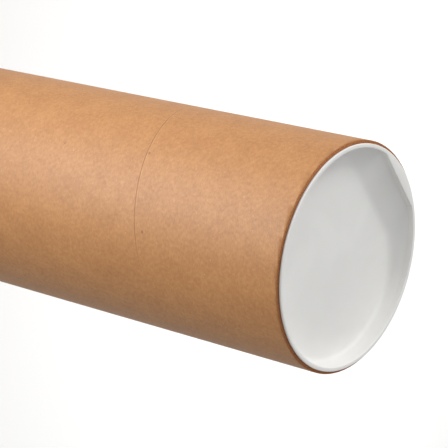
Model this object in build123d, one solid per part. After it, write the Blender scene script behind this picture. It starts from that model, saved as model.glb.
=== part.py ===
from build123d import *
import os
from math import atan2, degrees, sqrt

# Cardboard mailing tube: a spiral-wound kraft tube closed at each end by a moulded
# polyethylene plug. It stands on its bottom plug. Units are millimetres, +Z is up along
# the tube, and the origin is the centre of the bottom plug's outer face.

# --- Tube -------------------------------------------------------------------------------
bore_diameter = 152.4           # 6 in inside diameter
tube_wall = 3.175               # 1/8 in wound wall
tube_length = 609.6             # 24 in, cut square at both ends

# --- End plug: a shallow cup whose mouth faces outwards ---------------------------------
plug_clearance = 0.1            # radial gap between skirt and bore
flange_thickness = 2.1          # height of the flange that stands proud of the cut end
flange_overlap = 1.0            # how far the flange reaches over the cut end
edge_lift = 0.9                 # height of the slope under the flange's outer edge
edge_undercut = 0.6             # how far that slope reaches in from the outer edge
rim_width = 2.8                 # flat rim around the mouth of the recess
recess_depth = 12.6             # from the rim's face down to the floor
recess_draft = 1.4              # how much smaller in radius the recess is at its floor
floor_thickness = 1.5           # floor, and the smallest thickness under the ramp
skirt_wall = 1.7                # skirt thickness where it is hollow behind
lead_in = 0.8                   # chamfer on the skirt's inner end

# --- Finger ledge: a flat segment at rim level with a ramp running down from it ---------
ledge_depth = 5.4               # round wall to the ledge's straight edge, on the +X side
lip_drop = 4.0                  # upright lip from the ledge down to the ramp's head
ramp_run = 20.0                 # from the ledge's edge inwards to the straight foot of the ramp
ledge_corner = 6.0              # plan radius where the ledge's edge meets the round wall
foot_corner = 45.0              # plan radius where the ramp's foot meets the round wall

# --- Rounded edges ----------------------------------------------------------------------
floor_fillet = 3.5              # between the floor and the walls of the recess
ramp_head_fillet = 1.2          # between the upright lip and the ramp
rim_rounding = 0.5              # inner and outer edges of the rim

# --- Worked out from the sizes above ----------------------------------------------------
bore_radius = bore_diameter / 2
tube_radius = bore_radius + tube_wall
skirt_radius = bore_radius - plug_clearance
flange_radius = bore_radius + flange_overlap
seat_radius = flange_radius - edge_undercut
mouth_radius = flange_radius - rim_width
floor_radius = mouth_radius - recess_draft
ledge_edge = mouth_radius - ledge_depth
ramp_foot = ledge_edge - ramp_run
plug_height = recess_depth + floor_thickness


def corner_place(radius, chord, corner):
    """Centre of the corner arc that joins a chord of a circle to the circle, and the
    direction, in degrees from +X, in which that arc meets the circle."""
    along = chord - corner
    across = sqrt((radius - corner) ** 2 - along**2)
    return along, across, degrees(atan2(across, along))


def recess_outline(radius, chord, corner, splits=()):
    """Circle cut off by a chord on its +X side, with rounded corners. The round part is
    divided at each of the split directions, so that two outlines divided alike can be
    joined edge to edge along walls that lean but never twist."""
    along, across, meeting = corner_place(radius, chord, corner)
    stops = [0.0] + sorted({meeting, *splits, 180.0})
    edges = [Line((chord, -across), (chord, across))]
    for start, stop in zip(stops, stops[1:]):
        on_corner = stop <= meeting + 1e-6
        centre = (along, across) if on_corner else (0.0, 0.0)
        arc = CenterArc(centre, corner if on_corner else radius, start, stop - start)
        edges += [arc, arc.mirror(Plane.XZ)]
    return make_face(edges)


def recess_walls(top, bottom):
    """Solid between two recess outlines, each given as (radius, chord, corner, z)."""
    splits = [corner_place(*level[:3])[2] for level in (top, bottom)]
    faces = [Pos(0, 0, level[3]) * recess_outline(*level[:3], splits) for level in (top, bottom)]
    return loft(faces, ruled=True)


def edges_at(solid, height):
    """The edges of a solid that lie flat at one height."""
    return solid.edges().filter_by_position(Axis.Z, height - 0.01, height + 0.01)


def end_plug():
    """Plug with its flange's underside at z = 0 and its skirt reaching down from there."""
    face_z = flange_thickness
    head_z = face_z - lip_drop
    floor_z = face_z - recess_depth
    base_z = face_z - plug_height
    down = (Align.CENTER, Align.CENTER, Align.MAX)
    upward = (Align.CENTER, Align.CENTER, Align.MIN)

    flange = Pos(0, 0, face_z) * Cylinder(flange_radius, flange_thickness - edge_lift, align=down)
    flange += Cone(seat_radius, flange_radius, edge_lift, align=upward)
    skirt = Cylinder(skirt_radius, -base_z, align=down)
    skirt = chamfer(skirt.edges().sort_by(Axis.Z)[0], lead_in)
    body = flange + skirt

    mouth = (mouth_radius, ledge_edge, ledge_corner)
    floor = (floor_radius, ramp_foot, foot_corner)
    lip = extrude(Pos(0, 0, head_z) * recess_outline(*mouth), lip_drop)
    recess = recess_walls((*mouth, head_z), (*floor, floor_z)) + lip
    recess = fillet(edges_at(recess, floor_z), floor_fillet)
    recess = fillet(edges_at(recess, head_z), ramp_head_fillet)

    # The ramp is as thick as the floor, so its underside is the ramp moved out along its
    # own normal, and a crescent-shaped hollow is left between it and the skirt.
    run_per_fall = ramp_run / (recess_depth - lip_drop)
    shift = floor_thickness * sqrt(1 + run_per_fall**2)
    under_head = (mouth_radius + skirt_wall, ledge_edge + shift, ledge_corner, head_z)
    under_foot = (
        floor_radius + skirt_wall,
        ramp_foot + shift - floor_thickness * run_per_fall,
        foot_corner,
        base_z,
    )
    hollow = Pos(0, 0, head_z) * Cylinder(skirt_radius - skirt_wall, head_z - base_z, align=down)
    hollow -= recess_walls(under_head, under_foot)
    cup = body - recess - hollow
    return fillet(edges_at(cup, face_z), rim_rounding)


def seat_top(plug):
    """Plug seated in the tube's top end."""
    return Pos(0, 0, flange_thickness + tube_length) * plug


def seat_bottom(plug):
    """The same plug turned over and seated in the tube's bottom end."""
    return Pos(0, 0, flange_thickness) * Rot(180, 0, 0) * plug


tube = Pos(0, 0, flange_thickness) * extrude(
    Circle(tube_radius) - Circle(bore_radius), tube_length
)
plug = end_plug()

if __name__ == "__main__":
    os.makedirs("parts", exist_ok=True)
    pieces = {
        "tube": tube,
        "top_end_plug": seat_top(plug),
        "bottom_end_plug": seat_bottom(plug),
    }
    for node, piece in pieces.items():
        export_step(piece, f"parts/{node}.step")
        print(node, round(piece.volume), "mm3")
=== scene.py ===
"""Looks of a cardboard mailing tube: a spiral-wound kraft tube closed by two moulded end plugs.

Lengths are in metres, in the frame of the CAD model: the tube stands on its bottom plug, its
axis is +Z, and the finger ledges of both plugs face +X.
"""

import logging
import math
from dataclasses import dataclass
from enum import Enum
from functools import partial
from typing import Any, Iterable, Sequence

import bmesh
import bpy
from mathutils import Matrix, Vector


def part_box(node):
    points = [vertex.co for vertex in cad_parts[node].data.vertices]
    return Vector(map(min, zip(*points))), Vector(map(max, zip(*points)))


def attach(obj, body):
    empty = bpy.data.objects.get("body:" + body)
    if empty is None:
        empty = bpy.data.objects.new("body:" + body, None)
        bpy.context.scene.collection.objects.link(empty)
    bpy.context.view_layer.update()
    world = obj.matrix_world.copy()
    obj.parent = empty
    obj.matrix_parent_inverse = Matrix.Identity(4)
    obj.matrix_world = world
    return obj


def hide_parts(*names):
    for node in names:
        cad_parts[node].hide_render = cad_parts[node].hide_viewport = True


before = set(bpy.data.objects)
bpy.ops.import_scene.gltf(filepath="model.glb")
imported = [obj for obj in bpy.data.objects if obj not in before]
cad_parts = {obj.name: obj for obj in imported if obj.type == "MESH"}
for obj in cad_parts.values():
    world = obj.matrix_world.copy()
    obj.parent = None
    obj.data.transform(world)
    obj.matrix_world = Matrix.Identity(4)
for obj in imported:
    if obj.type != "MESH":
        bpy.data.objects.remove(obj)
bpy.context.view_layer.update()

log = logging.getLogger("mailing_tube")
MM = 0.001
FULL_TURN = 2 * math.pi
UPRIGHT = math.pi / 2
WELD = 0.004 * MM        # points of a plug nearer than this are one
SHARP_TURN = math.radians(32)
SPARE_TURNS = 2          # turns of ply laid below the foot, so the strips cover it
MATHS = "ShaderNodeMath"
VECTOR_MATHS = "ShaderNodeVectorMath"
REMAP = "ShaderNodeMapRange"
NOISE = "ShaderNodeTexNoise"
MIX = "ShaderNodeMix"
SET_POSITION = "GeometryNodeSetPosition"
Inputs = dict[str, Any] | Sequence[Any]
Tree = bpy.types.NodeTree
Node = bpy.types.Node
Socket = bpy.types.NodeSocket
Sockets = bpy.types.bpy_prop_collection


class Face(Enum):
    """Which surface of the wound board a paper covers."""

    OUTSIDE = "outside"
    BORE = "bore"


# --- Small tools ---------------------------------------------------------------------------


def linear(hex_colour: str) -> tuple[float, float, float, float]:
    """Turns an sRGB hex colour into linear RGBA.

    Args:
        hex_colour: colour as "#rrggbb".

    Returns:
        Linear red, green, blue and an alpha of 1.
    """
    channels = [int(hex_colour[i : i + 2], 16) / 255 for i in (1, 3, 5)]
    r, g, b = (c / 12.92 if c <= 0.04045 else ((c + 0.055) / 1.055) ** 2.4 for c in channels)
    return r, g, b, 1.0


def feed(tree: Tree, node: Node, inputs: Inputs) -> None:
    """Links or sets a node's sockets.

    Args:
        tree: the tree that the node is in.
        node: the node.
        inputs: what goes into its sockets, by name, identifier or place. A node or a socket is
            linked, a list of them is linked one by one, and anything else is set as the value.
    """
    for key, value in inputs.items() if isinstance(inputs, dict) else enumerate(inputs):
        socket = node.inputs[key] if isinstance(key, int) else next(
            s for s in node.inputs if key in (s.identifier, s.name)
        )
        for source in value if isinstance(value, list) else [value]:
            if isinstance(source, Node):
                source = next(s for s in source.outputs if s.enabled)
            if isinstance(source, Socket):
                tree.links.new(source, socket)
            else:
                socket.default_value = source


def add_node(tree: Tree, kind: str, inputs: Inputs = (), **settings: Any) -> Node:
    """Adds one node to a shader or geometry tree.

    Args:
        tree: the tree to add it to.
        kind: the node's type, such as "ShaderNodeMath".
        inputs: what goes into its sockets, as for feed().
        **settings: the node's own properties.

    Returns:
        The new node.
    """
    node = tree.nodes.new(kind)
    for name, value in settings.items():
        setattr(node, name, value)
    feed(tree, node, inputs)
    return node


def add_inputs(tree: Tree, values: dict[str, Any]) -> Node:
    """Gives a geometry tree its named inputs and its one geometry output.

    Args:
        tree: the tree.
        values: what each named input will be set to, which says what kind of socket it is.

    Returns:
        The group's input node.
    """
    kinds = {float: "NodeSocketFloat", int: "NodeSocketInt"}
    for name, value in values.items():
        kind = kinds.get(type(value), "NodeSocketMaterial")
        tree.interface.new_socket(name, in_out="INPUT", socket_type=kind)
    tree.interface.new_socket("Geometry", in_out="OUTPUT", socket_type="NodeSocketGeometry")
    return tree.nodes.new("NodeGroupInput")


def start_material(name: str) -> tuple[bpy.types.Material, Tree, Socket]:
    """Makes a material and finds what every finish of the object starts from.

    Args:
        name: the material's name.

    Returns:
        The material, its tree and its object coordinates.
    """
    material = bpy.data.materials.new(name)
    material.use_nodes = True
    tree = material.node_tree
    return material, tree, add_node(tree, "ShaderNodeTexCoord").outputs["Object"]


def from_axis(tree: Tree, place: Node | Socket) -> Socket:
    """Adds nodes that give how far a place is from the tube's axis."""
    flat = add_node(tree, VECTOR_MATHS, [place, (1, 1, 0)], operation="MULTIPLY")
    return add_node(tree, VECTOR_MATHS, [flat], operation="LENGTH").outputs["Value"]


def fan(first: float, last: float, steps: int) -> list[float]:
    """Angles or shares from first to last, both included, in equal steps."""
    return [first + (last - first) * i / steps for i in range(steps + 1)]


def grow(name: str, tree: Tree, values: dict[str, Any]) -> bpy.types.Object:
    """Runs a geometry tree and keeps its result as a plain mesh.

    Args:
        name: the piece's name.
        tree: the geometry tree.
        values: what its named inputs are set to.

    Returns:
        The finished object, with no modifier left on it.
    """
    piece = bpy.data.objects.new(name, bpy.data.meshes.new(name))
    bpy.context.scene.collection.objects.link(piece)
    modifier = piece.modifiers.new("grow", "NODES")
    modifier.node_group = tree
    for item in tree.interface.items_tree:
        if item.in_out == "INPUT":
            modifier[item.identifier] = values[item.name]
    evaluated = piece.evaluated_get(bpy.context.evaluated_depsgraph_get())
    piece.data = bpy.data.meshes.new_from_object(evaluated)
    piece.data.name = name
    piece.modifiers.remove(modifier)
    return piece


def shell_from_rings(
    name: str, rings: Sequence[Sequence[Vector]], first: Vector, last: Vector
) -> bpy.types.Object:
    """Builds a closed mesh from rings of points that follow one another, and two poles.

    Args:
        name: the piece's name.
        rings: rings of as many points each, the first near one pole, the last near the other.
        first: pole inside the first ring.
        last: pole inside the last ring.

    Returns:
        The object, with doubled points merged and edges over SHARP_TURN kept crisp.
    """
    mesh = bmesh.new()
    loops = [[mesh.verts.new(point) for point in ring] for ring in rings]
    count = len(loops[0])
    start, end = mesh.verts.new(first), mesh.verts.new(last)
    for i in range(count):
        j = (i + 1) % count
        mesh.faces.new((start, loops[0][i], loops[0][j]))
        for near, far in zip(loops, loops[1:]):
            mesh.faces.new((near[i], far[i], far[j], near[j]))
        mesh.faces.new((end, loops[-1][j], loops[-1][i]))
    bmesh.ops.remove_doubles(mesh, verts=mesh.verts, dist=WELD)
    bmesh.ops.dissolve_degenerate(mesh, edges=mesh.edges, dist=WELD)
    bmesh.ops.recalc_face_normals(mesh, faces=mesh.faces)
    for face in mesh.faces:
        face.smooth = True
    for edge in mesh.edges:
        edge.smooth = len(edge.link_faces) == 2 and edge.calc_face_angle() < SHARP_TURN
    piece = bpy.data.objects.new(name, bpy.data.meshes.new(name))
    mesh.to_mesh(piece.data)
    mesh.free()
    bpy.context.scene.collection.objects.link(piece)
    return piece


# --- Finishes ------------------------------------------------------------------------------


@dataclass(frozen=True)
class Winding:
    """How the outer ply is wound: a right-hand helix whose butt joint climbs as it turns.

    The winder keeps the joint closed but for a short stretch, where its edges stand apart.
    Places along the joint are in turns up from where it first crosses +X.
    """

    pitch: float = 106.1 * MM
    seam_at_x: float = 27.9 * MM      # height of the joint where it first crosses +X
    radius: float = 79.375 * MM
    open_from: float = 4.15
    open_to: float = 4.40
    fade: float = 0.035               # turns over which it opens and closes
    closed: float = 0.05              # how far it stays open elsewhere, as a share

    def openness(self, tree: Tree, place: Node) -> Node:
        """Works out how far the joint is open.

        Args:
            tree: the tree to add to.
            place: place along the joint.

        Returns:
            The node that gives the share, from closed to 1.
        """
        add = partial(add_node, tree)
        ends = [
            add(
                REMAP,
                [place, end - way * self.fade, end + way * self.fade, self.closed, 1.0],
                interpolation_type="SMOOTHSTEP",
            )
            for end, way in ((self.open_from, 1), (self.open_to, -1))
        ]
        return add(MATHS, ends, operation="MINIMUM")


@dataclass(frozen=True)
class Speck:
    """One dark speck of bark in the liner."""

    bearing_deg: float                # from +X towards +Y
    height: float
    size: float = 0.9 * MM
    strength: float = 0.8

    def place(self, radius: float) -> Vector:
        """Where it lies on a wall of that radius."""
        turn = math.radians(self.bearing_deg)
        return Vector((radius * math.cos(turn), radius * math.sin(turn), self.height))


@dataclass(frozen=True)
class KraftLiner:
    """Unbleached kraft liner paper, machine finished and wound on a mandrel.

    The pulp gives a warm tan with soft clouds, short fibres that lie along the ply, a few dark
    shives and pale flecks, and a faint sheen from the calender rolls.
    """

    name: str
    face: Face
    winding: Winding
    deep: str = "#956336"
    mid: str = "#a16f3e"
    pale: str = "#ac7a48"
    shive: str = "#74482a"
    bright_fleck: str = "#d3a97c"
    joint_shadow: str = "#6b4020"
    joint_edge: str = "#c8935e"
    cloud: float = 16 * MM            # size of the soft clouds left by the pulp
    floc: float = 2.6 * MM            # clumps of fibre
    fibre: float = 0.75 * MM          # real fibres are 0.03 mm wide; drawn wider so they show
    fibre_stretch: float = 0.3        # how much slower the pattern runs along the ply
    shive_cell: float = 13 * MM
    shive_size: float = 0.42 * MM
    joint_width: float = 0.6 * MM
    joint_fade: float = 9 * MM        # stretches over which its shadow comes and goes
    specks: tuple[Speck, ...] = (
        Speck(93.8, 482.0 * MM, 1.3 * MM),
        Speck(133.1, 498.1 * MM, 1.4 * MM),
        Speck(98.5, 408.2 * MM, 0.9 * MM),
    )
    roughness: tuple[float, float] = (0.52, 0.66)

    def build(self) -> bpy.types.Material:
        """Makes the paper's material.

        Returns:
            The material.
        """
        material, tree, place = start_material(self.name)
        add = partial(add_node, tree)
        along_ply, joint_offset, joint_place = self._ply_place(tree, place)

        clouds, flocs, fibres = (
            add(
                NOISE,
                {"Vector": where, "Scale": 1 / size, "Detail": detail, "Roughness": roughness},
            )
            for where, size, detail, roughness in (
                (place, self.cloud, 3.0, 0.55),
                (place, self.floc, 4.0, 0.6),
                (along_ply, self.fibre, 3.0, 0.65),
            )
        )
        grain = -0.15
        for pattern, weight in ((clouds, 0.30), (flocs, 0.60), (fibres, 0.40)):
            grain = add(MATHS, [pattern, weight, grain], operation="MULTIPLY_ADD")
        tone = add("ShaderNodeValToRGB", [grain])
        ramp = tone.color_ramp
        ramp.elements[0].position, ramp.elements[0].color = 0.33, linear(self.deep)
        ramp.elements[1].position, ramp.elements[1].color = 0.67, linear(self.pale)
        ramp.elements.new(0.5).color = linear(self.mid)

        colour = self._flecks(tree, place, tone)
        if self.face is Face.OUTSIDE:
            openness = self.winding.openness(tree, joint_place)
            colour = self._joint(tree, place, joint_offset, openness, colour)
        gloss = add(REMAP, [fibres, 0.3, 0.7, self.roughness[1], self.roughness[0]])
        height = add(MATHS, [flocs, 0.5, fibres], operation="MULTIPLY_ADD")
        bump = add("ShaderNodeBump", {"Strength": 0.55, "Distance": 0.05 * MM, "Height": height})
        feed(
            tree, tree.nodes["Principled BSDF"],
            {"Base Color": colour, "Roughness": gloss, "Normal": bump, "Specular IOR Level": 0.55},
        )
        return material

    def _ply_place(self, tree: Tree, place: Socket) -> tuple[Node, Node, Node]:
        """Works out where a point lies on the wound strip of paper.

        Args:
            tree: the material's tree.
            place: object coordinates.

        Returns:
            Coordinates along and across the strip, in metres and the along one stretched, the
            height above the joint below, and the place along the nearest joint.
        """
        add = partial(add_node, tree)
        pitch = self.winding.pitch
        girth = FULL_TURN * self.winding.radius
        xyz = add("ShaderNodeSeparateXYZ", [place])
        angle = add(MATHS, [xyz.outputs["Y"], xyz.outputs["X"]], operation="ARCTAN2")
        turn = add(MATHS, [angle, FULL_TURN], operation="DIVIDE")
        climb = add(MATHS, [xyz.outputs["Z"], self.winding.seam_at_x], operation="SUBTRACT")
        strips = add(MATHS, [climb, pitch], operation="DIVIDE")
        strips = add(MATHS, [strips, turn], operation="SUBTRACT")
        across = add(MATHS, [strips], operation="FRACT")
        whole = add(MATHS, [strips], operation="FLOOR")
        travelled = add(MATHS, [whole, turn], operation="ADD")
        run = add(MATHS, [travelled, girth * self.fibre_stretch], operation="MULTIPLY")
        offset = add(MATHS, [across, pitch], operation="MULTIPLY")
        flat = add("ShaderNodeCombineXYZ", {"X": run, "Y": offset})
        nearest = add(MATHS, [strips], operation="ROUND")
        nearest = add(MATHS, [nearest, turn], operation="ADD")
        return flat, offset, nearest

    def _flecks(self, tree: Tree, place: Socket, colour: Node) -> Node:
        """Scatters dark shives and pale flecks over a colour, and puts the specks on.

        Args:
            tree: the material's tree.
            place: object coordinates.
            colour: the paper's colour.

        Returns:
            The node that gives the flecked colour.
        """
        add = partial(add_node, tree)
        marks = []
        for cell, size, shade, share in (
            (self.shive_cell, self.shive_size, self.shive, 0.7),
            (self.shive_cell * 0.8, self.shive_size * 1.15, self.bright_fleck, 0.5),
        ):
            spots = add("ShaderNodeTexVoronoi", {"Vector": place, "Scale": 1 / cell})
            marks.append((spots.outputs["Distance"], size / cell, share, shade))
        for speck in self.specks if self.face is Face.OUTSIDE else ():
            centre = speck.place(self.winding.radius)
            away = add(VECTOR_MATHS, [place, centre], operation="DISTANCE")
            marks.append((away.outputs["Value"], speck.size, speck.strength, self.shive))
        for distance, reach, share, shade in marks:
            mask = add(REMAP, [distance, reach * 0.4, reach, share, 0.0])
            colour = add(
                MIX,
                {"Factor_Float": mask, "A_Color": colour, "B_Color": linear(shade)},
                data_type="RGBA",
            )
        return colour

    def _joint(self, tree: Tree, place: Socket, offset: Node, openness: Node, colour: Node) -> Node:
        """Draws the butt joint of the outer ply: a shaded gap beside a paler cut edge.

        Args:
            tree: the material's tree.
            place: object coordinates.
            offset: height above the joint below.
            openness: how far the joint is open.
            colour: the paper's colour.

        Returns:
            The node that gives the colour with the joint in it.
        """
        add = partial(add_node, tree)
        gap = add(MATHS, [offset, self.winding.pitch / 2], operation="PINGPONG")
        breaks = add(NOISE, {"Vector": place, "Scale": 1 / self.joint_fade, "Detail": 3.0})
        strength = add(REMAP, [breaks, 0.35, 0.65, 0.6, 1.0])
        strength = add(MATHS, [strength, openness], operation="MULTIPLY")
        for near, far, shade, full in (
            (0.9 * self.joint_width, 2.2 * self.joint_width, self.joint_edge, 0.25),
            (0.3 * self.joint_width, self.joint_width, self.joint_shadow, 0.8),
        ):
            line = add(REMAP, [gap, near, far, full, 0.0])
            line = add(MATHS, [line, strength], operation="MULTIPLY")
            colour = add(
                MIX,
                {"Factor_Float": line, "A_Color": colour, "B_Color": linear(shade)},
                data_type="RGBA",
            )
        return colour


@dataclass(frozen=True)
class CutBoard:
    """The sawn end of the wound board: bare plies, glue lines and torn fibres.

    Sawing exposes darker, drier stock than the liner's face, so it looks orange-brown and
    fuzzy, with the glue lines as fine dark hoops.
    """

    name: str
    bore_radius: float
    wall: float
    plies: int
    dark: str = "#8b532c"
    mid: str = "#b07246"
    pale: str = "#cb9568"
    tear: float = 1.1 * MM            # size of the torn tufts

    def build(self) -> bpy.types.Material:
        """Makes the sawn end's material.

        Returns:
            The material.
        """
        material, tree, place = start_material(self.name)
        add = partial(add_node, tree)
        outer = self.bore_radius + self.wall
        depth = add(
            REMAP, [from_axis(tree, place), self.bore_radius, outer, 0.0, float(self.plies)],
        )
        glue = add(MATHS, [depth, 0.5], operation="PINGPONG")
        tufts = add(
            NOISE, {"Vector": place, "Scale": 1 / self.tear, "Detail": 5.0, "Roughness": 0.65},
        )
        grain = add(MATHS, [glue, 0.5, tufts], operation="MULTIPLY_ADD")
        tone = add("ShaderNodeValToRGB", [grain])
        ramp = tone.color_ramp
        ramp.elements[0].position, ramp.elements[0].color = 0.42, linear(self.dark)
        ramp.elements[1].position, ramp.elements[1].color = 0.88, linear(self.pale)
        ramp.elements.new(0.64).color = linear(self.mid)
        bump = add("ShaderNodeBump", {"Strength": 0.9, "Distance": 0.15 * MM, "Height": grain})
        feed(
            tree, tree.nodes["Principled BSDF"],
            {"Base Color": tone, "Normal": bump, "Roughness": 0.95, "Specular IOR Level": 0.2},
        )
        return material


@dataclass(frozen=True)
class MouldedPolyethylene:
    """Natural white low-density polyethylene, injection moulded.

    Light enters a little way, which softens its edges, and the mould leaves a satin skin with
    a fine orange peel, faint flow clouds and the scuffs of handling.
    """

    name: str = "moulded_polyethylene"
    body: str = "#f2f1ee"
    cloud: str = "#eeedea"
    flow: float = 38 * MM             # size of the flow clouds
    peel: float = 1.4 * MM            # size of the orange peel
    scuff: float = 6 * MM

    def build(self) -> bpy.types.Material:
        """Makes the plug's material.

        Returns:
            The material.
        """
        material, tree, place = start_material(self.name)
        add = partial(add_node, tree)
        flow = {"Vector": place, "Scale": 1 / self.flow, "Detail": 2.0, "Distortion": 0.6}
        clouds = add(NOISE, flow)
        share = add(REMAP, [clouds, 0.35, 0.65, 0.0, 1.0])
        colour = add(
            MIX,
            {"Factor_Float": share, "A_Color": linear(self.body), "B_Color": linear(self.cloud)},
            data_type="RGBA",
        )
        peel, scuffs = (
            add(
                NOISE,
                {"Vector": place, "Scale": 1 / size, "Detail": detail, "Roughness": roughness},
            )
            for size, detail, roughness in ((self.peel, 2.0, 0.5), (self.scuff, 6.0, 0.7))
        )
        gloss = add(REMAP, [scuffs, 0.35, 0.7, 0.44, 0.56])
        bump = add("ShaderNodeBump", {"Strength": 0.25, "Distance": 0.03 * MM, "Height": peel})
        feed(
            tree, tree.nodes["Principled BSDF"],
            {
                "Base Color": colour, "Roughness": gloss, "Normal": bump, "IOR": 1.51,
                "Subsurface Weight": 0.18, "Subsurface Radius": (1.0, 0.95, 0.85),
                "Subsurface Scale": 2.5 * MM,
            },
        )
        return material


# --- The wound tube ------------------------------------------------------------------------


@dataclass(frozen=True)
class WoundTube:
    """The spiral-wound kraft tube, sawn square at both ends."""

    winding: Winding
    bore_radius: float = 76.2 * MM
    base: float = 2.1 * MM
    length: float = 609.6 * MM
    plies: int = 8
    joint_depth: float = 0.14 * MM    # the outer ply's edges sink this far into the joint
    joint_reach: float = 0.6 * MM
    ragged: float = 0.22 * MM         # how unevenly the saw leaves the plies
    tuft: float = 3.5 * MM            # size of the tufts that it tears up
    wobble: float = 0.12 * MM         # slow waves in the wall
    wave: float = 55 * MM             # and their size
    weld: float = 0.03 * MM           # points nearer than this are one
    columns: int = 160                # round one turn
    strip_rows: int = 32              # across one strip, bunched towards its joint
    bunching: float = 0.985
    ply_rows: int = 4                 # across each ply on the sawn ends
    bore_rows: int = 24

    def dress(self) -> bpy.types.Object:
        """Builds the tube, gives it its papers and puts it on its body.

        Returns:
            The tube's object.
        """
        outer = self.winding.radius
        turns = math.ceil(self.length / self.winding.pitch) + SPARE_TURNS
        values = {
            "Outer Radius": outer,
            "Bore Radius": self.bore_radius,
            "Base Height": self.base,
            "Top Height": self.base + self.length,
            "Pitch": self.winding.pitch,
            "First Joint": self.winding.seam_at_x - SPARE_TURNS * self.winding.pitch,
            "Spare Turns": float(SPARE_TURNS),
            "Turns": float(turns),
            "Joint Depth": self.joint_depth,
            "Joint Reach": self.joint_reach,
            "Ply Thickness": (outer - self.bore_radius) / self.plies,
            "Ragged": self.ragged,
            "Wobble": self.wobble,
            "Columns": self.columns + 1,
            "Strip Columns": self.columns * turns + 1,
            "Strip Rows": self.strip_rows + 1,
            "Ply Rows": self.plies * self.ply_rows + 1,
            "Bore Rows": self.bore_rows + 1,
            "Outside": KraftLiner("kraft_liner_paper", Face.OUTSIDE, self.winding).build(),
            "Inside": KraftLiner("bore_kraft_paper", Face.BORE, self.winding).build(),
            "Cut": CutBoard(
                "sawn_board_end", self.bore_radius, outer - self.bore_radius, self.plies
            ).build(),
        }
        piece = grow("wound_kraft_tube", self._tree(values), values)
        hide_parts("tube")
        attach(piece, "tube_body")
        return piece

    def _tree(self, values: dict[str, Any]) -> Tree:
        """Builds the geometry tree: spiral wall, sawn ends and bore, welded into one skin.

        Args:
            values: what its named inputs will be set to.

        Returns:
            The tree.
        """
        tree = bpy.data.node_groups.new("wound_tube", "GeometryNodeTree")
        add = partial(add_node, tree)
        given = add_inputs(tree, values).outputs
        faces = [self._spiral_wall(tree, given)]
        for rows, radii, heights in (
            ("Ply Rows", ("Outer Radius", "Bore Radius"), ("Top Height", "Top Height")),
            ("Ply Rows", ("Bore Radius", "Outer Radius"), ("Base Height", "Base Height")),
            ("Bore Rows", ("Bore Radius", "Bore Radius"), ("Top Height", "Base Height")),
        ):
            faces.append(self._hoop(tree, given, rows, radii, heights))
        skin = add("GeometryNodeJoinGeometry", [faces])
        skin = add("GeometryNodeMergeByDistance", {"Geometry": skin, "Distance": self.weld})
        skin = self._saw_marks(tree, given, skin)
        return self._paper(tree, given, skin)

    def _sheet(self, tree: Tree, columns: Socket, rows: Socket) -> tuple[Node, Sockets]:
        """Lays out a flat sheet, 1 by 1 about its middle, that is then bent to its shape.

        Args:
            tree: the geometry tree.
            columns: points along X.
            rows: points along Y.

        Returns:
            The node that gives the sheet, and the X, Y and Z of its points.
        """
        add = partial(add_node, tree)
        counts = {"Vertices X": columns, "Vertices Y": rows}
        sheet = add("GeometryNodeMeshGrid", {"Size X": 1.0, "Size Y": 1.0, **counts})
        spot = add("ShaderNodeSeparateXYZ", [add("GeometryNodeInputPosition")])
        return sheet, spot.outputs

    def _bend(self, tree: Tree, sheet: Node, angle: Node, radius: Node, height: Node) -> Node:
        """Moves a sheet's points to their places round the axis.

        Args:
            tree: the geometry tree.
            sheet: the sheet.
            angle: angle of each point from +X.
            radius: its distance from the axis.
            height: its height.

        Returns:
            The node that gives the bent sheet.
        """
        add = partial(add_node, tree)
        point = add("ShaderNodeCombineXYZ", {"X": radius, "Z": height})
        turned = {"Vector": point, "Angle": angle}
        point = add("ShaderNodeVectorRotate", turned, rotation_type="Z_AXIS")
        return add(SET_POSITION, {"Geometry": sheet, "Position": point})

    def _spiral_wall(self, tree: Tree, given: Sockets) -> Node:
        """Lays strips side by side up the helix, so a row of edges follows the ply's joint.

        Args:
            tree: the geometry tree.
            given: the tree's named inputs.

        Returns:
            The node that gives the outer wall, cut flat at both ends.
        """
        add = partial(add_node, tree)
        grid, spot = self._sheet(tree, given["Strip Columns"], given["Strip Rows"])
        turn = add(REMAP, [spot["X"], -0.5, 0.5, 0.0, given["Turns"]])
        across = add(REMAP, [spot["Y"], -0.5, 0.5, 0.0, FULL_TURN])
        swing = add(MATHS, [across], operation="SINE")
        bunched = add(MATHS, [swing, -self.bunching, across], operation="MULTIPLY_ADD")
        rise = add(MATHS, [given["Pitch"], FULL_TURN], operation="DIVIDE")
        climb = add(MATHS, [turn, given["Pitch"], given["First Joint"]], operation="MULTIPLY_ADD")
        height = add(MATHS, [bunched, rise, climb], operation="MULTIPLY_ADD")
        level = add("ShaderNodeClamp", [height, given["Base Height"], given["Top Height"]])
        trimmed = add(MATHS, [height, level], operation="SUBTRACT")
        trimmed = add(MATHS, [trimmed], operation="ABSOLUTE")
        trimmed = add(MATHS, [trimmed, 1e-7], operation="GREATER_THAN")
        trimmed = add("GeometryNodeFieldOnDomain", [trimmed], domain="POINT", data_type="FLOAT")
        spare = add(MATHS, [trimmed, 0.99], operation="GREATER_THAN")
        grid = add(
            "GeometryNodeDeleteGeometry", {"Geometry": grid, "Selection": spare}, domain="FACE",
        )
        fall = add(MATHS, [given["Pitch"], -1.0], operation="MULTIPLY")
        offset = add(MATHS, [level, given["First Joint"]], operation="SUBTRACT")
        offset = add(MATHS, [turn, fall, offset], operation="MULTIPLY_ADD")
        half = add(MATHS, [given["Pitch"], 0.5], operation="MULTIPLY")
        gap = add(MATHS, [offset, half], operation="PINGPONG")
        nearest = add(MATHS, [offset, given["Pitch"]], operation="DIVIDE")
        nearest = add(MATHS, [nearest], operation="ROUND")
        nearest = add(MATHS, [nearest, turn], operation="ADD")
        nearest = add(MATHS, [nearest, given["Spare Turns"]], operation="SUBTRACT")
        depth = add(
            MATHS,
            [self.winding.openness(tree, nearest), given["Joint Depth"]],
            operation="MULTIPLY",
        )
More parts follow.
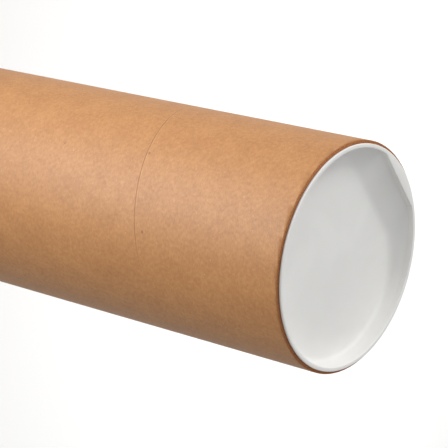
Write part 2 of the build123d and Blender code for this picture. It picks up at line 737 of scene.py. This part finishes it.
        sink = add(
            REMAP, [gap, 0.0, given["Joint Reach"], depth, 0.0], interpolation_type="SMOOTHSTEP",
        )
        radius = add(MATHS, [given["Outer Radius"], sink], operation="SUBTRACT")
        angle = add(MATHS, [turn, FULL_TURN], operation="MULTIPLY")
        return self._bend(tree, grid, angle, radius, level)

    def _hoop(
        self,
        tree: Tree,
        given: Sockets,
        rows: str,
        radii: tuple[str, str],
        heights: tuple[str, str],
    ) -> Node:
        """Turns a straight line round the axis: a sawn end, or the bore.

        Args:
            tree: the geometry tree.
            given: the tree's named inputs.
            rows: name of the input that says how many points the line has.
            radii: names of the radius at its start and at its end.
            heights: names of the height at its start and at its end.

        Returns:
            The node that gives the hoop, facing away from the board.
        """
        add = partial(add_node, tree)
        grid, spot = self._sheet(tree, given["Columns"], given[rows])
        angle = add(REMAP, [spot["X"], -0.5, 0.5, 0.0, FULL_TURN])
        radius, height = (
            add(REMAP, [spot["Y"], -0.5, 0.5, given[near], given[far]])
            for near, far in (radii, heights)
        )
        return self._bend(tree, grid, angle, radius, height)

    def _saw_marks(self, tree: Tree, given: Sockets, skin: Node) -> Node:
        """Sinks the glue lines and roughens the sawn ends, and lets the wall wave slightly.

        Args:
            tree: the geometry tree.
            given: the tree's named inputs.
            skin: the welded skin.

        Returns:
            The node that gives the finished shape.
        """
        add = partial(add_node, tree)
        here = add("GeometryNodeInputPosition")
        spot = add("ShaderNodeSeparateXYZ", [here])
        middle = add(MATHS, [given["Base Height"], given["Top Height"]], operation="ADD")
        middle = add(MATHS, [middle, 0.5], operation="MULTIPLY")
        rise = add(MATHS, [spot.outputs["Z"], middle], operation="SUBTRACT")
        side = add(MATHS, [rise], operation="SIGN")
        reach = add(MATHS, [given["Top Height"], middle], operation="SUBTRACT")
        far = add(MATHS, [rise], operation="ABSOLUTE")
        short = add(MATHS, [reach, far], operation="SUBTRACT")
        on_cut = add(MATHS, [short, 1e-6], operation="LESS_THAN")

        flat = add("ShaderNodeCombineXYZ", [spot.outputs["X"], spot.outputs["Y"]])
        radius = add(VECTOR_MATHS, [flat], operation="LENGTH")
        depth = add(MATHS, [radius.outputs["Value"], given["Bore Radius"]], operation="SUBTRACT")
        ply = add(MATHS, [depth, given["Ply Thickness"]], operation="DIVIDE")
        glue = add(MATHS, [ply, 0.5], operation="PINGPONG")
        glue = add(REMAP, [glue, 0.0, 0.3, 0.55, 0.0])
        torn = add(NOISE, {"Vector": here, "Scale": 1 / self.tuft, "Detail": 3.0, "Roughness": 0.7})
        torn = add(REMAP, [torn, 0.3, 0.75, 0.0, 1.0])
        sink = add(MATHS, [torn, glue], operation="ADD")
        for factor in (given["Ragged"], side, -1.0):
            sink = add(MATHS, [sink, factor], operation="MULTIPLY")
        drop = add("ShaderNodeCombineXYZ", {"Z": sink})
        skin = add(SET_POSITION, {"Geometry": skin, "Selection": on_cut, "Offset": drop})

        waves = add(NOISE, {"Vector": here, "Scale": 1 / self.wave, "Detail": 1.0})
        waves = add(MATHS, [waves, given["Wobble"]], operation="MULTIPLY")
        inwards = add(VECTOR_MATHS, [flat], operation="NORMALIZE")
        for factor in (-1.0, waves):
            scaled = {"Vector": inwards, "Scale": factor}
            inwards = add(VECTOR_MATHS, scaled, operation="SCALE")
        outside = add(MATHS, [depth, given["Ply Thickness"]], operation="GREATER_THAN")
        return add(SET_POSITION, {"Geometry": skin, "Selection": outside, "Offset": inwards})

    def _paper(self, tree: Tree, given: Sockets, skin: Node) -> Tree:
        """Smooths the walls, keeps the sawn edges crisp and puts the papers on.

        Args:
            tree: the geometry tree.
            given: the tree's named inputs.
            skin: the finished shape.

        Returns:
            The tree, complete.
        """
        add = partial(add_node, tree)
        bend = add("GeometryNodeInputMeshEdgeAngle")
        crisp = add(MATHS, [bend.outputs["Unsigned Angle"], 0.9], operation="GREATER_THAN")
        skin = add(
            "GeometryNodeSetShadeSmooth", {"Geometry": skin, "Shade Smooth": True}, domain="FACE",
        )
        skin = add(
            "GeometryNodeSetShadeSmooth",
            {"Geometry": skin, "Selection": crisp, "Shade Smooth": False}, domain="EDGE",
        )
        radius = from_axis(tree, add("GeometryNodeInputPosition"))
        middle = add(MATHS, [given["Outer Radius"], given["Bore Radius"]], operation="ADD")
        middle = add(MATHS, [middle, 0.5], operation="MULTIPLY")
        in_bore = add(MATHS, [radius, middle], operation="LESS_THAN")
        facing = add("ShaderNodeSeparateXYZ", [add("GeometryNodeInputNormal")])
        upright = add(MATHS, [facing.outputs["Z"]], operation="ABSOLUTE")
        on_cut = add(MATHS, [upright, 0.6], operation="GREATER_THAN")
        skin = add("GeometryNodeRealizeInstances", [skin])
        skin = add("GeometryNodeSetMaterial", {"Geometry": skin, "Material": given["Outside"]})
        for where, paper in ((in_bore, "Inside"), (on_cut, "Cut")):
            skin = add(
                "GeometryNodeSetMaterial",
                {"Geometry": skin, "Selection": where, "Material": given[paper]},
            )
        add("NodeGroupOutput", [skin])
        return tree


# --- The end plugs -------------------------------------------------------------------------


class End(Enum):
    """Which end of the tube a plug closes, as its node's and its body's name."""

    TOP = ("top_end_plug", "top_plug_body")
    BOTTOM = ("bottom_end_plug", "bottom_plug_body")


@dataclass(frozen=True)
class Segment:
    """A circle cut off by a chord on its +X side, with rounded corners."""

    radius: float
    chord: float
    corner: float

    @property
    def corner_centre(self) -> Vector:
        """Centre of the rounded corner on the +Y side."""
        along = self.chord - self.corner
        return Vector((along, math.sqrt((self.radius - self.corner) ** 2 - along**2), 0.0))

    def at(self, bearing: float, side: float) -> Vector:
        """Point of the outline.

        Args:
            bearing: direction that the outline faces there, in radians from +X.
            side: from -1 to 1 along the chord, or the sign of Y elsewhere.

        Returns:
            The point, at height 0.
        """
        facing = Vector((math.cos(bearing), math.sin(bearing), 0.0))
        centre = self.corner_centre
        if abs(bearing) <= math.atan2(centre.y, centre.x):
            return Vector((centre.x, side * centre.y, 0.0)) + self.corner * facing
        return self.radius * facing

    def reach(self, direction: Vector) -> float:
        """Works out how far the outline is from the axis.

        Args:
            direction: a level direction of length 1.

        Returns:
            The distance.
        """
        centre = Vector((self.corner_centre.x, math.copysign(self.corner_centre.y, direction.y)))
        flat = direction.xy
        if flat.x > 0 and abs(flat.y / flat.x) * self.chord <= abs(centre.y):
            return self.chord / flat.x
        if abs(flat.angle_signed(Vector((1, 0)))) < abs(centre.angle_signed(Vector((1, 0)))):
            ahead = flat.dot(centre)
            return ahead + math.sqrt(ahead**2 - centre.length_squared + self.corner**2)
        return self.radius


@dataclass(frozen=True)
class EndPlug:
    """A moulded plug: a shallow cup with a flange, a finger ledge and a ramp below it."""

    end: End
    flange_radius: float = 77.2 * MM
    flange: float = 2.1 * MM
    edge_lift: float = 0.9 * MM       # slope under the flange's outer edge
    edge_undercut: float = 0.6 * MM
    skirt_radius: float = 76.1 * MM
    skirt_wall: float = 1.7 * MM
    lead_in: float = 0.8 * MM
    floor: float = 1.5 * MM
    depth: float = 12.6 * MM
    lip_drop: float = 4.0 * MM
    mouth: Segment = Segment(74.4 * MM, 69.0 * MM, 6.0 * MM)
    foot: Segment = Segment(73.0 * MM, 49.0 * MM, 45.0 * MM)
    floor_fillet: float = 3.5 * MM    # where the recess's wall is upright
    floor_blend: float = 3.0 * MM     # how far the fillet reaches in over the floor
    head_fillet: float = 1.2 * MM
    rim_rounding: float = 0.5 * MM
    gate_radius: float = 3.4 * MM     # dimple under the floor, where the plastic came in
    gate_depth: float = 0.3 * MM
    chord_steps: int = 24             # points along the chord
    arc_steps: int = 120              # and round the arc on each side
    floor_steps: int = 14             # rows over the recess's floor, then up its wall
    fillet_steps: int = 6
    ramp_steps: int = 7
    head_steps: int = 5
    rim_steps: int = 4
    hollow_steps: int = 6             # rows down the hollow behind the ramp
    underside_steps: int = 7

    def dress(self, seat: float, finish: bpy.types.Material) -> bpy.types.Object:
        """Builds the plug, seats it in its end and puts it on its body.

        Args:
            seat: height of the sawn end that its flange rests on.
            finish: the plug's material.

        Returns:
            The plug's object.
        """
        node, body = self.end.value
        rows = self._recess() + self._outside() + self._underside()
        face = self.flange - self.depth
        piece = shell_from_rings(
            f"moulded_{node}", rows,
            Vector((0, 0, face)), Vector((0, 0, face - self.floor + self.gate_depth)),
        )
        place = Matrix.Translation((0, 0, seat))
        if self.end is End.BOTTOM:
            place = place @ Matrix.Rotation(math.pi, 4, "X")
        piece.data.transform(place)
        piece.data.materials.append(finish)
        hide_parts(node)
        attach(piece, body)
        return piece

    def _stations(self) -> list[tuple[float, float]]:
        """Lists the places round a ring, once round from the chord's -Y end.

        Returns:
            The bearing and the side of each, as for Segment.at().
        """
        along = [(0.0, side) for side in fan(-1.0, 1.0, self.chord_steps)]
        steps = fan(0.0, math.pi, self.arc_steps)[1:-1]
        left = [(bearing, 1.0) for bearing in steps]
        right = [(-bearing, -1.0) for bearing in reversed(steps)]
        return along + left + [(math.pi, 1.0)] + right

    def _hoop(self, radius: float, height: float) -> list[Vector]:
        """Makes a round ring, with its points in line with those of the recess's mouth.

        Args:
            radius: the ring's radius.
            height: its height.

        Returns:
            Its points.
        """
        return [
            self.mouth.at(*station).normalized() * radius + Vector((0, 0, height))
            for station in self._stations()
        ]

    def _recess(self) -> list[list[Vector]]:
        """Makes the rings from the middle of the recess's floor out to the edge of its mouth.

        Returns:
            The rings, the smallest first.
        """
        floor_z, head_z = self.flange - self.depth, self.flange - self.lip_drop
        columns = [self._wall_column(*station) for station in self._stations()]
        edge = [column[0] for column in columns]
        centre = Vector((0, 0, floor_z))
        shares = fan(0.0, 1.0, self.floor_steps)[1:-1]
        rings = [[centre.lerp(point, share) for point in edge] for share in shares]
        rings += [list(ring) for ring in zip(*columns)]
        log.info("recess: floor at %.1f mm, ramp head at %.1f mm", floor_z / MM, head_z / MM)
        return rings

    def _wall_column(self, bearing: float, side: float) -> list[Vector]:
        """Points up the recess's wall, over its fillets, at one place round it.

        Args:
            bearing: direction that the wall faces, in radians from +X.
            side: from -1 to 1 along the chord, or the sign of Y elsewhere.

        Returns:
            Points from the floor's edge to the rounded edge of the mouth.
        """
        facing = Vector((math.cos(bearing), math.sin(bearing), 0.0))
        up = Vector((0, 0, 1))
        foot = self.foot.at(bearing, side) + up * (self.flange - self.depth)
        head = self.mouth.at(bearing, side) + up * (self.flange - self.lip_drop)
        slope = math.atan2((head - foot).z, (head - foot).dot(facing))
        rise = facing * math.cos(slope) + up * math.sin(slope)
        fillet = max(self.floor_fillet, self.floor_blend / math.tan(slope / 2))
        cut = fillet * math.tan(slope / 2)
        points = []
        for turned in fan(0.0, slope, self.fillet_steps):
            out = fillet * math.sin(turned) - cut
            lift = fillet * (1 - math.cos(turned))
            points.append(foot + facing * out + up * lift)
        start = head - rise * self.head_fillet * math.tan((UPRIGHT - slope) / 2)
        points += [points[-1].lerp(start, share) for share in fan(0.0, 1.0, self.ramp_steps)[1:-1]]
        for turned in fan(slope, UPRIGHT, self.head_steps):
            out = self.head_fillet * (math.sin(turned) - math.sin(slope))
            lift = self.head_fillet * (math.cos(slope) - math.cos(turned))
            points.append(start + facing * out + up * lift)
        edge = self.mouth.at(bearing, side)
        for turned in fan(0.0, UPRIGHT, self.rim_steps):
            out = self.rim_rounding * (1 - math.cos(turned))
            drop = self.rim_rounding * (1 - math.sin(turned))
            points.append(edge + facing * out + up * (self.flange - drop))
        return points

    def _outside(self) -> list[list[Vector]]:
        """Makes the rings over the rim, round the flange and down the skirt.

        Returns:
            The rings, down to the skirt's chamfered end.
        """
        base = self.flange - self.depth - self.floor
        rings = []
        for turned in fan(0.0, UPRIGHT, self.rim_steps):
            out = self.rim_rounding * (math.sin(turned) - 1)
            drop = self.rim_rounding * (1 - math.cos(turned))
            rings.append(self._hoop(self.flange_radius + out, self.flange - drop))
        for radius, height in (
            (self.flange_radius, self.edge_lift),
            (self.flange_radius - self.edge_undercut, 0.0),
            (self.skirt_radius, 0.0),
            (self.skirt_radius, (base + self.lead_in) / 2),
            (self.skirt_radius, base + self.lead_in),
            (self.skirt_radius - self.lead_in, base),
        ):
            rings.append(self._hoop(radius, height))
        return rings

    def _underside(self) -> list[list[Vector]]:
        """Makes the rings round the hollow behind the ramp and in under the floor.

        Returns:
            The rings, up the skirt's inside, down the hollow and in to the gate's dimple.
        """
        base = self.flange - self.depth - self.floor
        head_z = self.flange - self.lip_drop
        run = self.mouth.chord - self.foot.chord
        flatness = run / (self.depth - self.lip_drop)
        shift = self.floor * math.sqrt(1 + flatness**2)
        head = Segment(
            self.mouth.radius + self.skirt_wall, self.mouth.chord + shift, self.mouth.corner
        )
        foot = Segment(
            self.foot.radius + self.skirt_wall,
            self.foot.chord + shift - self.floor * flatness,
            self.foot.corner,
        )
        inner = self.skirt_radius - self.skirt_wall
        columns = []
        for station in self._stations():
            direction = self.mouth.at(*station).normalized()
            low = min(foot.reach(direction), inner)
            high = head.reach(direction)
            share = 1.0 if high <= inner else (inner - low) / max(high - low, WELD)
            corner = direction * min(high, inner) + Vector((0, 0, base + (head_z - base) * share))
            edge = direction * low + Vector((0, 0, base))
            wall = direction * inner
            columns.append(
                [wall + Vector((0, 0, base)), wall + Vector((0, 0, corner.z)), corner]
                + [corner.lerp(edge, share) for share in fan(0.0, 1.0, self.hollow_steps)[1:]]
            )
        rings = [list(ring) for ring in zip(*columns)]
        gate = self._hoop(self.gate_radius, base)
        edge = rings[-1]
        for share in fan(0.0, 1.0, self.underside_steps)[1:]:
            rings.append([point.lerp(end, share) for point, end in zip(edge, gate)])
        for share, sink in ((0.85, 0.8), (0.6, 1.0), (0.2, 1.0)):
            rings.append(self._hoop(self.gate_radius * share, base + self.gate_depth * sink))
        return rings


# --- Studio --------------------------------------------------------------------------------


@dataclass(frozen=True)
class StudioCamera:
    """Looks down on the tube's top end from beside it, turned so the tube lies across."""

    lens_mm: float = 151.9
    azimuth_deg: float = 121.82       # from +X towards +Y, of the camera seen from the tube
    elevation_deg: float = 36.70
    roll_deg: float = 103.52
    distance: float = 1318.9 * MM
    aim: Vector = Vector((2.1 * MM, 1.3 * MM, -106.9 * MM))  # from the middle of the top cut

    def place(self, top: float) -> None:
        """Makes the camera and sets it as the scene's.

        Args:
            top: height of the tube's sawn top end.
        """
        data = bpy.data.cameras.new("studio_camera")
        data.lens = self.lens_mm
        data.sensor_width = 36.0
        data.clip_start, data.clip_end = 0.05, 60.0
        camera = bpy.data.objects.new("studio_camera", data)
        bpy.context.scene.collection.objects.link(camera)
        azimuth, elevation = math.radians(self.azimuth_deg), math.radians(self.elevation_deg)
        back = Vector(
            (
                math.cos(azimuth) * math.cos(elevation),
                math.sin(azimuth) * math.cos(elevation),
                math.sin(elevation),
            )
        )
        turn = back.to_track_quat("Z", "Y").to_matrix().to_4x4()
        roll = Matrix.Rotation(math.radians(self.roll_deg), 4, "Z")
        target = Vector((0, 0, top)) + self.aim
        camera.matrix_world = Matrix.Translation(target + back * self.distance) @ turn @ roll
        bpy.context.scene.camera = camera


@dataclass(frozen=True)
class LightPanel:
    """A square light that isn't itself seen."""

    name: str
    place: Vector
    shines: Vector                    # the way it faces
    size: float
    watts: float

    def hang(self) -> None:
        """Makes the light."""
        data = bpy.data.lights.new(self.name, "AREA")
        data.shape, data.size, data.energy = "SQUARE", self.size, self.watts
        light = bpy.data.objects.new(self.name, data)
        light.location = self.place
        light.rotation_euler = (-self.shines).to_track_quat("Z", "Y").to_euler()
        light.visible_camera = False
        bpy.context.scene.collection.objects.link(light)


@dataclass(frozen=True)
class Studio:
    """A pale floor in a white room, with a softbox above and panels near the floor.

    Two panels lie on the floor in front and shine up along the tube's wall, where they make its
    broad soft highlight. A third hangs over the floor behind. All are lower than the tube's
    top. The softbox stands higher and to one side: it shades the top plug's recess, throws the
    rim's soft shadow over its floor and lights the wall across from it.
    """

    floor_size: float = 40.0
    floor_tone: str = "#fdfdfc"
    room_tone: str = "#ffffff"
    room_dim: float = 0.315           # strength of the room's light on its darker side
    room_bright: float = 0.840        # and where it is brightest
    bright_side: Vector = Vector((0.663, 0.557, 0.5))
    panels: tuple[LightPanel, ...] = (
        LightPanel("left_panel", Vector((-0.257, 0.705, 0.02)), Vector((0, 0, 1)), 0.5, 11.1),
        LightPanel("right_panel", Vector((0.130, 0.739, 0.02)), Vector((0, 0, 1)), 0.5, 3.6),
        LightPanel("back_panel", Vector((0.5, -0.75, 0.5)), Vector((0, 0, -1)), 1.1, 3.0),
        LightPanel("softbox", Vector((1.57, 0.732, 1.592)), Vector((-1.57, -0.732, -1)), 0.7, 14.7),
    )

    def build(self) -> None:
        """Makes the floor, the room's light and the panels."""
        half = self.floor_size / 2
        mesh = bpy.data.meshes.new("studio_floor")
        corners = [(-half, -half, 0), (half, -half, 0), (half, half, 0), (-half, half, 0)]
        mesh.from_pydata(corners, [], [(0, 1, 2, 3)])
        floor = bpy.data.objects.new("studio_floor", mesh)
        bpy.context.scene.collection.objects.link(floor)
        paint = bpy.data.materials.new("matt_floor_paint")
        paint.use_nodes = True
        shader = paint.node_tree.nodes["Principled BSDF"]
        feed(
            paint.node_tree, shader,
            {"Base Color": linear(self.floor_tone), "Roughness": 0.9, "Specular IOR Level": 0.1},
        )
        mesh.materials.append(paint)

        world = bpy.data.worlds.new("studio_room")
        world.use_nodes = True
        tree = world.node_tree
        add = partial(add_node, tree)
        towards = add(
            VECTOR_MATHS,
            [add("ShaderNodeTexCoord").outputs["Generated"], self.bright_side],
            operation="DOT_PRODUCT",
        )
        strength = add(
            REMAP, [towards.outputs["Value"], -0.3, 1.0, self.room_dim, self.room_bright],
        )
        feed(
            tree, tree.nodes["Background"], {"Color": linear(self.room_tone), "Strength": strength},
        )
        bpy.context.scene.world = world
        bpy.context.scene.view_settings.view_transform = "Standard"
        for panel in self.panels:
            panel.hang()


def report(pieces: Iterable[bpy.types.Object]) -> None:
    """Logs the size of each piece.

    Args:
        pieces: the finished pieces.
    """
    for piece in pieces:
        triangles = sum(len(face.vertices) - 2 for face in piece.data.polygons)
        log.info("%s: %d triangles, %s mm", piece.name, triangles,
                 [round(side / MM, 1) for side in piece.dimensions])


def main() -> None:
    """Builds the studio and the object, and logs the size of each piece."""
    logging.basicConfig(level=logging.INFO)
    low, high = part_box("tube")
    StudioCamera().place(high.z)
    Studio().build()
    winding = Winding(radius=high.x)
    tube = WoundTube(winding, base=low.z, length=high.z - low.z)
    finish = MouldedPolyethylene().build()
    pieces = [
        tube.dress(),
        EndPlug(End.TOP).dress(high.z, finish),
        EndPlug(End.BOTTOM).dress(low.z, finish),
    ]
    report(pieces)


if __name__ == "__main__":
    main()
